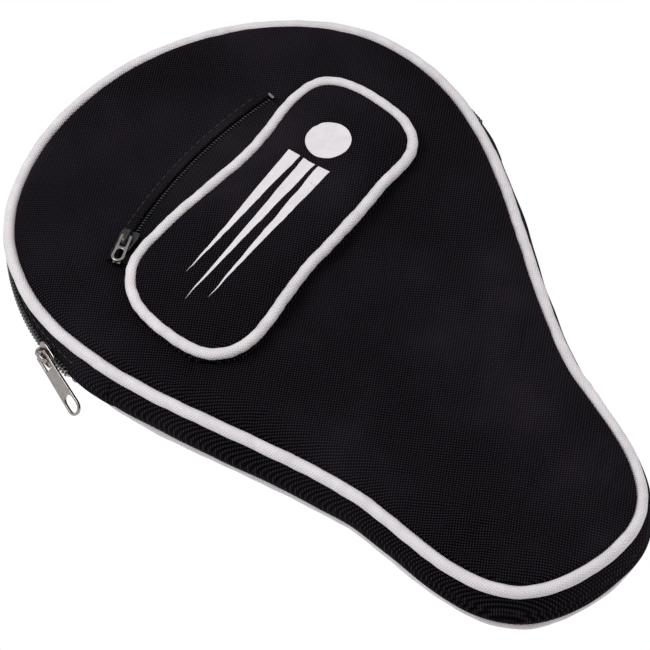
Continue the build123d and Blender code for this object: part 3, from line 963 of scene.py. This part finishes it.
def printed_shape(name, shape, tree, top):
    """Thin flat shape, cut into small faces and dropped onto the pocket face."""
    work = bmesh.new()
    corners = pocket_to_case(shape)
    work.faces.new([work.verts.new((x, y, 0)) for x, y in corners])
    for normal, low, high in ((ALONG, -60, 60), (ACROSS, -14, 14)):
        for step in np.arange(low, high, 2.0):
            place = POCKET_CENTRE + normal * step
            geometry = work.verts[:] + work.edges[:] + work.faces[:]
            cut = {"plane_co": (*place, 0), "plane_no": (*normal, 0)}
            bmesh.ops.bisect_plane(work, geom=geometry, dist=0.01, **cut)
    for vertex in work.verts:
        near = tree.find_n((vertex.co.x * MM, vertex.co.y * MM, 0), 4)
        weights = [1 / (distance + 0.0002) for _, _, distance in near]
        height = sum(w * top[index] for w, (_, index, _) in zip(weights, near)) / sum(weights)
        vertex.co.z = height + 0.12
    bmesh.ops.recalc_face_normals(work, faces=work.faces)
    mesh = bpy.data.meshes.new(name)
    work.to_mesh(mesh)
    work.free()
    mesh.transform(Matrix.Scale(MM, 4))
    mesh.materials.append(INK)
    piece = add_object(name, mesh)
    thick = piece.modifiers.new("thick", "SOLIDIFY")
    thick.thickness = 0.2 * MM
    thick.offset = 0
    bpy.context.view_layer.objects.active = piece
    bpy.ops.object.modifier_apply(modifier="thick")
    return piece


# ---- Metal ----
def stamped(name, loops, thickness, bevel, place, material=None):
    """Sheet-metal part from flat loops (the first is the outside), edges rounded."""
    curve = bpy.data.curves.new(name, "CURVE")
    curve.dimensions = "2D"
    curve.fill_mode = "BOTH"
    curve.extrude = (thickness / 2 - bevel) * MM
    curve.bevel_depth = bevel * MM
    curve.bevel_resolution = 3
    curve.offset = -bevel * MM
    for loop in loops:
        spline = curve.splines.new("POLY")
        spline.points.add(len(loop) - 1)
        for point, (x, y) in zip(spline.points, loop):
            point.co = (x * MM, y * MM, 0, 1)
        spline.use_cyclic_u = True
    flat = add_object(name, curve)
    mesh = bpy.data.meshes.new_from_object(flat.evaluated_get(bpy.context.evaluated_depsgraph_get()))
    bpy.data.objects.remove(flat)
    mesh.transform(place)
    mesh.materials.clear()
    mesh.materials.append(material or METAL)
    return add_object(name, mesh)


def basis(origin, x_axis, y_axis, z_axis):
    """Matrix that carries local axes and metres to the case frame."""
    turn = Matrix((x_axis, y_axis, z_axis)).transposed().to_4x4()
    return Matrix.Translation(Vector(origin) * MM) @ turn


def capsule_loop(centre, length, width, steps=10):
    """Rounded slot outline along local X."""
    radius = width / 2
    reach = length / 2 - radius
    ends = []
    for side in (1, -1):
        for a in np.linspace(-math.pi / 2, math.pi / 2, steps):
            ends.append((centre + side * (reach + radius * math.cos(a)), side * radius * math.sin(a)))
    return ends


def rounded_window(low, high, width, radius=0.7):
    half = width / 2
    loop = []
    corners = ((high, half, 0), (low, half, 90), (low, -half, 180), (high, -half, 270))
    for x, y, start in corners:
        cx = x - radius if start in (0, 270) else x + radius
        cy = y - radius if y > 0 else y + radius
        for a in np.radians(np.linspace(start, start + 90, 5)):
            loop.append((cx + radius * math.cos(a), cy + radius * math.sin(a)))
    return loop


def pull_outline(length, narrow, wide):
    """Pull-tab outline: squared at the bar, a little wider and round at the tip."""
    tip = length - wide / 2
    loop = [(-0.9, -narrow / 2 + 0.5), (-0.5, -narrow / 2), (length * 0.3, -narrow / 2)]
    for a in np.linspace(-math.pi / 2, math.pi / 2, 15):
        loop.append((tip + wide / 2 * math.cos(a), wide / 2 * math.sin(a)))
    loop += [(length * 0.3, narrow / 2), (-0.5, narrow / 2), (-0.9, narrow / 2 - 0.5)]
    return loop


SLIDER_TILT = 30.0
PLATE_FACE = 1.8
# Lower plates: level of the face, sideways shift and half width.
MAIN_LOW_PLATE = (-1.9, 1.2, 2.1)
POCKET_LOW_PLATE = (-1.15, 0.0, 2.2)
# Pulls: width at the bar and at the tip, where the window ends and its width, eye length and width.
MAIN_PULL = {
    "length": 28.0, "narrow": 6.2, "wide": 7.0,
    "window": (6.4, 4.1), "eye": (7.6, 5.0), "lift": -4.0,
}
POCKET_PULL = {
    "length": 12.5, "narrow": 4.6, "wide": 5.2,
    "window": (4.9, 2.5), "eye": (5.0, 3.0), "lift": 0.0,
}


def build_pull(name, body, node, joint, outward_axis, sizes):
    """Stamped pull on its bar, lying back along the zip."""
    origin, axis = joint_place(joint)
    up = Vector(-axis)
    out = Vector(outward_axis)
    along = up.cross(out).normalized()
    normal = along.cross(up)
    lift = math.radians(sizes["lift"])
    raised = along * math.cos(lift) + normal * math.sin(lift)
    place = basis(origin, raised, up, raised.cross(up))
    tip = sizes["length"] - 0.55
    window_end, window_width = sizes["window"]
    eye_length, eye_width = sizes["eye"]
    loops = [pull_outline(tip, sizes["narrow"], sizes["wide"])]
    loops.append(rounded_window(0.6, window_end, window_width))
    loops.append(capsule_loop(tip - 1.0 - eye_length / 2, eye_length, eye_width))
    tab = stamped(name, loops, 1.1, 0.22, place)
    reach = window_width / 2 + 0.3
    bar_line = [origin + np.array(up) * t for t in np.linspace(-reach, reach, 5)]
    bar = wire(f"{name}_bar", bar_line, 0.55, METAL, sides=16)
    fix(join(name, [tab, bar]), body, "zip_metal", node)


def slider_loop(front, back, nose, tail):
    """Slider plate outline: wide shoulders at the nose, narrower at the tail."""
    return [
        (back, -tail + 0.8), (back + 0.3, -tail + 0.2), (back + 1.0, -tail), (front - 3.4, -nose),
        (front - 1.2, -nose), (front - 0.4, -nose + 0.5), (front, -nose + 1.6), (front - 0.5, -0.7),
        (front - 0.5, 0.7), (front, nose - 1.6), (front - 0.4, nose - 0.5), (front - 1.2, nose),
        (front - 3.4, nose), (back + 1.0, tail), (back + 0.3, tail - 0.2), (back, tail - 0.8),
    ]


def build_slider(name, body, node, origin, out, up, low_plate, finish):
    """Slider: two plates, rolled edges, post and crown."""
    out, up = Vector(out), Vector(up)
    along = up.cross(out).normalized()
    inner_face, shift, half_width = low_plate

    def at(t, side, height):
        return np.array(origin) + np.array(along) * t + np.array(up) * side + np.array(out) * height

    top_place = basis(at(0, 0, PLATE_FACE + 0.65), -along, -up, out)
    low_place = basis(at(0, shift, inner_face - 0.5), -along, -up, out)
    low_loop = slider_loop(4.6, -4.4, half_width, half_width - 0.5)
    pieces = [stamped(f"{name}_top", [slider_loop(4.9, -4.7, 3.7, 3.0)], 1.2, 0.42, top_place, finish)]
    pieces.append(stamped(f"{name}_low", [low_loop], 0.9, 0.3, low_place, finish))
    for side in (-1, 1):
        edge = []
        for t in np.linspace(-3.9, 3.6, 12):
            width = 3.35 - 0.75 * smooth_step((t + 1.5) / 4.0)
            edge.append(at(t, side * width, PLATE_FACE + 0.05))
        pieces.append(wire(f"{name}_rim{side}", edge, 0.42, finish, sides=10))
    post = [at(-3.4, 0, t) for t in np.linspace(inner_face - 0.2, PLATE_FACE + 0.2, 6)]
    pieces.append(wire(f"{name}_post", post, 0.15, finish, sides=10))
    pieces.append(build_crown(f"{name}_crown", at, np.array(out), np.array(up), np.array(along), finish))
    fix(join(name, pieces), body, "zip_metal" if finish is METAL else "zip_enamel", node)


def build_crown(name, at, out, up, along, finish):
    """Flat strap bent into an arch over the pull's bar."""
    feet = [(-3.9, 0.4), (-3.6, 1.1), (-3.1, 2.5), (-2.3, 3.25), (-1.0, 3.5)]
    arch = feet + [(-t, h) for t, h in reversed(feet)]
    path = resample(np.array(arch, float) + [0, PLATE_FACE + 0.65], 28)
    run = np.gradient(path, axis=0)
    run /= np.linalg.norm(run, axis=1)[:, None]
    corner = round_section(1.0, 0.0, 12)
    corner = np.sign(corner) * np.abs(corner) ** 0.55
    rings = []
    for (t, h), (dt, dh) in zip(path, run):
        across = out * dt - along * dh
        rings.append([at(t, 0.85 * a, h) + across * b * 0.42 for a, b in corner])
    return swept(name, rings, finish, False)


def build_metal():
    slider = np.array(middle("zip_slider"))
    angle = math.atan2(slider[1] - HEAD_CENTRE[1], slider[0] - HEAD_CENTRE[0])
    radial = Vector((math.cos(angle), math.sin(angle), 0))
    tilt = math.radians(SLIDER_TILT)
    out = radial * math.cos(tilt) + Vector((0, 0, 1)) * math.sin(tilt)
    up = -radial * math.sin(tilt) + Vector((0, 0, 1)) * math.cos(tilt)
    origin = np.array([*(HEAD_CENTRE + np.array(radial[:2]) * ZIP_RADIUS), ZIP_Z])
    names = ("main_slider_body", "main_slider", "zip_slider")
    build_slider(*names, origin, out, up, MAIN_LOW_PLATE, METAL)
    build_pull("main_pull_tab", "main_pull", "zip_pull", "zip_pull_swing", out, MAIN_PULL)
    pocket = np.array(middle("pocket_zip_slider"))
    radial = Vector((*(pocket[:2] - POCKET_ZIP_PIVOT[:2]), 0)).normalized()
    origin = np.array([*(POCKET_ZIP_PIVOT[:2] + np.array(radial[:2]) * POCKET_ZIP_RADIUS), POCKET_ZIP_Z])
    out = Vector((0, 0, 1))
    names = ("pocket_slider_body", "pocket_slider", "pocket_zip_slider")
    build_slider(*names, origin, out, -radial, POCKET_LOW_PLATE, ENAMEL)
    names = ("pocket_pull_tab", "pocket_pull", "pocket_zip_pull", "pocket_pull_swing")
    build_pull(*names, out, POCKET_PULL)


# ---- Stitching ----
def stitch_row(name, path, ups, length=2.6, gap=1.0, radius=0.2):
    """Row of short thread stitches lying on a surface."""
    total = np.r_[0, np.cumsum(np.linalg.norm(np.diff(path, axis=0), axis=1))]
    points, faces = [], []
    for start in np.arange(1.0, total[-1] - length, length + gap):
        places = np.linspace(start, start + length, 5)
        line = at_lengths(places, total, path)
        up = at_lengths(places, total, ups)
        run = line[-1] - line[0]
        run /= np.linalg.norm(run)
        for j, (point, rise) in enumerate(zip(line, up)):
            size = radius * math.sin(math.pi * (j + 0.6) / 5.2)
            lift = rise * (0.25 * math.sin(math.pi * (j + 0.5) / 5))
            side = np.cross(run, rise)
            for a in np.linspace(0, 2 * math.pi, 6, endpoint=False):
                around = side * size * 1.3 * math.cos(a) + rise * size * math.sin(a)
                points.append(point + lift + around)
        base = len(points) - 30
        faces += [tuple(index + base for index in face) for face in grid_faces(5, 6, wrap_columns=True)]
        faces.append(tuple(base + k for k in range(6))[::-1])
        faces.append(tuple(base + 24 + k for k in range(6)))
    return make_mesh(name, points, faces, THREAD)


def build_stitching():
    """Rows that hold the zip tapes and the pocket's zip."""
    path, normals = HEAD
    bulge = bulge_at(path, normals)
    low, high = BACK_Z + 0.3, FRONT_Z - 0.3
    for name, share in (("front", 0.80), ("back", 0.20)):
        out, z = wall_curve(np.array([share]), 1.0, low, high)
        line = np.c_[path + normals * (bulge * out[0] + 0.12)[:, None], np.full(len(path), z[0])]
        row = stitch_row(f"{name}_zip_stitching", line, np.c_[normals, np.zeros(len(path))])
        if name == "front":
            bend_at_fold(row, "zip_tape")
        else:
            fix(row, "case", "zip_tape")
    line, out = pocket_arc(POCKET_ZIP_RADIUS + 4.0, -13.6, 13.6, 120)
    line = np.c_[line, np.full(len(line), POCKET_ZIP_Z + 0.05)]
    up = np.c_[out * 0.6, np.full(len(out), 0.8)]
    fix(stitch_row("pocket_zip_stitching", line, up), "case", "zip_tape")


# ---- Small CAD pieces that stay ----
def finish_cad_pieces():
    for name in ("zip_stop_left", "zip_stop_right", "pocket_zip_stop_left", "pocket_zip_stop_right"):
        piece = frame["nodes"][name]
        if not piece.material_slots:
            piece.data.materials.append(METAL)
        for slot in piece.material_slots:
            slot.material = METAL


# ---- Camera, floor and light ----
VIEW_AZIMUTH = math.radians(33.97)
VIEW_ELEVATION = math.radians(53.59)
VIEW_ROLL = math.radians(2.92)
VIEW_DISTANCE = 1345.9
VIEW_TARGET = np.array([0.0, -44.45, 25.0])
VIEW_SHIFT = (34.62, -20.30)


def build_camera():
    az, el, roll = VIEW_AZIMUTH, VIEW_ELEVATION, VIEW_ROLL
    toward = np.array([-math.sin(az) * math.cos(el), -math.cos(az) * math.cos(el), math.sin(el)])
    right = np.array([math.cos(az), -math.sin(az), 0.0])
    up = np.array([math.sin(az) * math.sin(el), math.cos(az) * math.sin(el), math.cos(el)])
    side = right * math.cos(roll) - up * math.sin(roll)
    top = right * math.sin(roll) + up * math.cos(roll)
    place = VIEW_TARGET - VIEW_SHIFT[0] * side - VIEW_SHIFT[1] * top + VIEW_DISTANCE * toward
    data = bpy.data.cameras.new("camera")
    data.lens = 200
    data.sensor_width = 36
    data.clip_end = 20
    camera = add_object("camera", data)
    camera.matrix_world = basis(place, Vector(side), Vector(top), Vector(toward))
    bpy.context.scene.camera = camera


def build_floor():
    mesh = bpy.data.meshes.new("floor")
    size, level = 6.0, -0.0004
    corners = [(-size, -size, level), (size, -size, level), (size, size, level), (-size, size, level)]
    mesh.from_pydata(corners, [], [(0, 1, 2, 3)])
    kit = Nodes("light_table")
    kit.shader.inputs["Base Color"].default_value = (0, 0, 0, 1)
    kit.shader.inputs["Specular IOR Level"].default_value = 0.0
    kit.shader.inputs["Emission Color"].default_value = (1, 1, 1, 1)
    kit.shader.inputs["Emission Strength"].default_value = 1.0
    mesh.materials.append(kit.material)
    add_object("floor", mesh)


def area_light(name, place, target, size, power, colour=(1, 1, 1)):
    data = bpy.data.lights.new(name, "AREA")
    data.shape = "RECTANGLE"
    data.size, data.size_y = size
    data.energy = power
    data.color = colour
    light = add_object(name, data)
    light.location = place
    light.rotation_euler = (Vector(target) - Vector(place)).to_track_quat("-Z", "Y").to_euler()


def build_lights():
    world = bpy.data.worlds.new("soft_room")
    world.use_nodes = True
    world.node_tree.nodes["Background"].inputs["Color"].default_value = (1, 1, 1, 1)
    world.node_tree.nodes["Background"].inputs["Strength"].default_value = 0.7
    bpy.context.scene.world = world
    area_light("key", (-0.55, 0.35, 0.95), (0, 0, 0), (0.7, 0.5), 9.0)
    area_light("fill", (0.8, -0.5, 0.9), (0, 0, 0), (0.9, 0.9), 4.0)
    bpy.context.scene.view_settings.view_transform = "Standard"


def main():
    build_camera()
    front_field, front_top = build_front_panel()
    build_back_panel()
    build_piping()
    build_bindings()
    build_side_wall()
    build_zip_tapes()
    build_main_coils()
    pocket_field, pocket_top = build_pocket_face()
    build_pocket_edge()
    build_pocket_wall(front_field, front_top)
    build_pocket_zip()
    build_print(pocket_field, pocket_top)
    build_metal()
    build_stitching()
    finish_cad_pieces()
    build_floor()
    build_lights()


main()
bpy.context.view_layer.update()
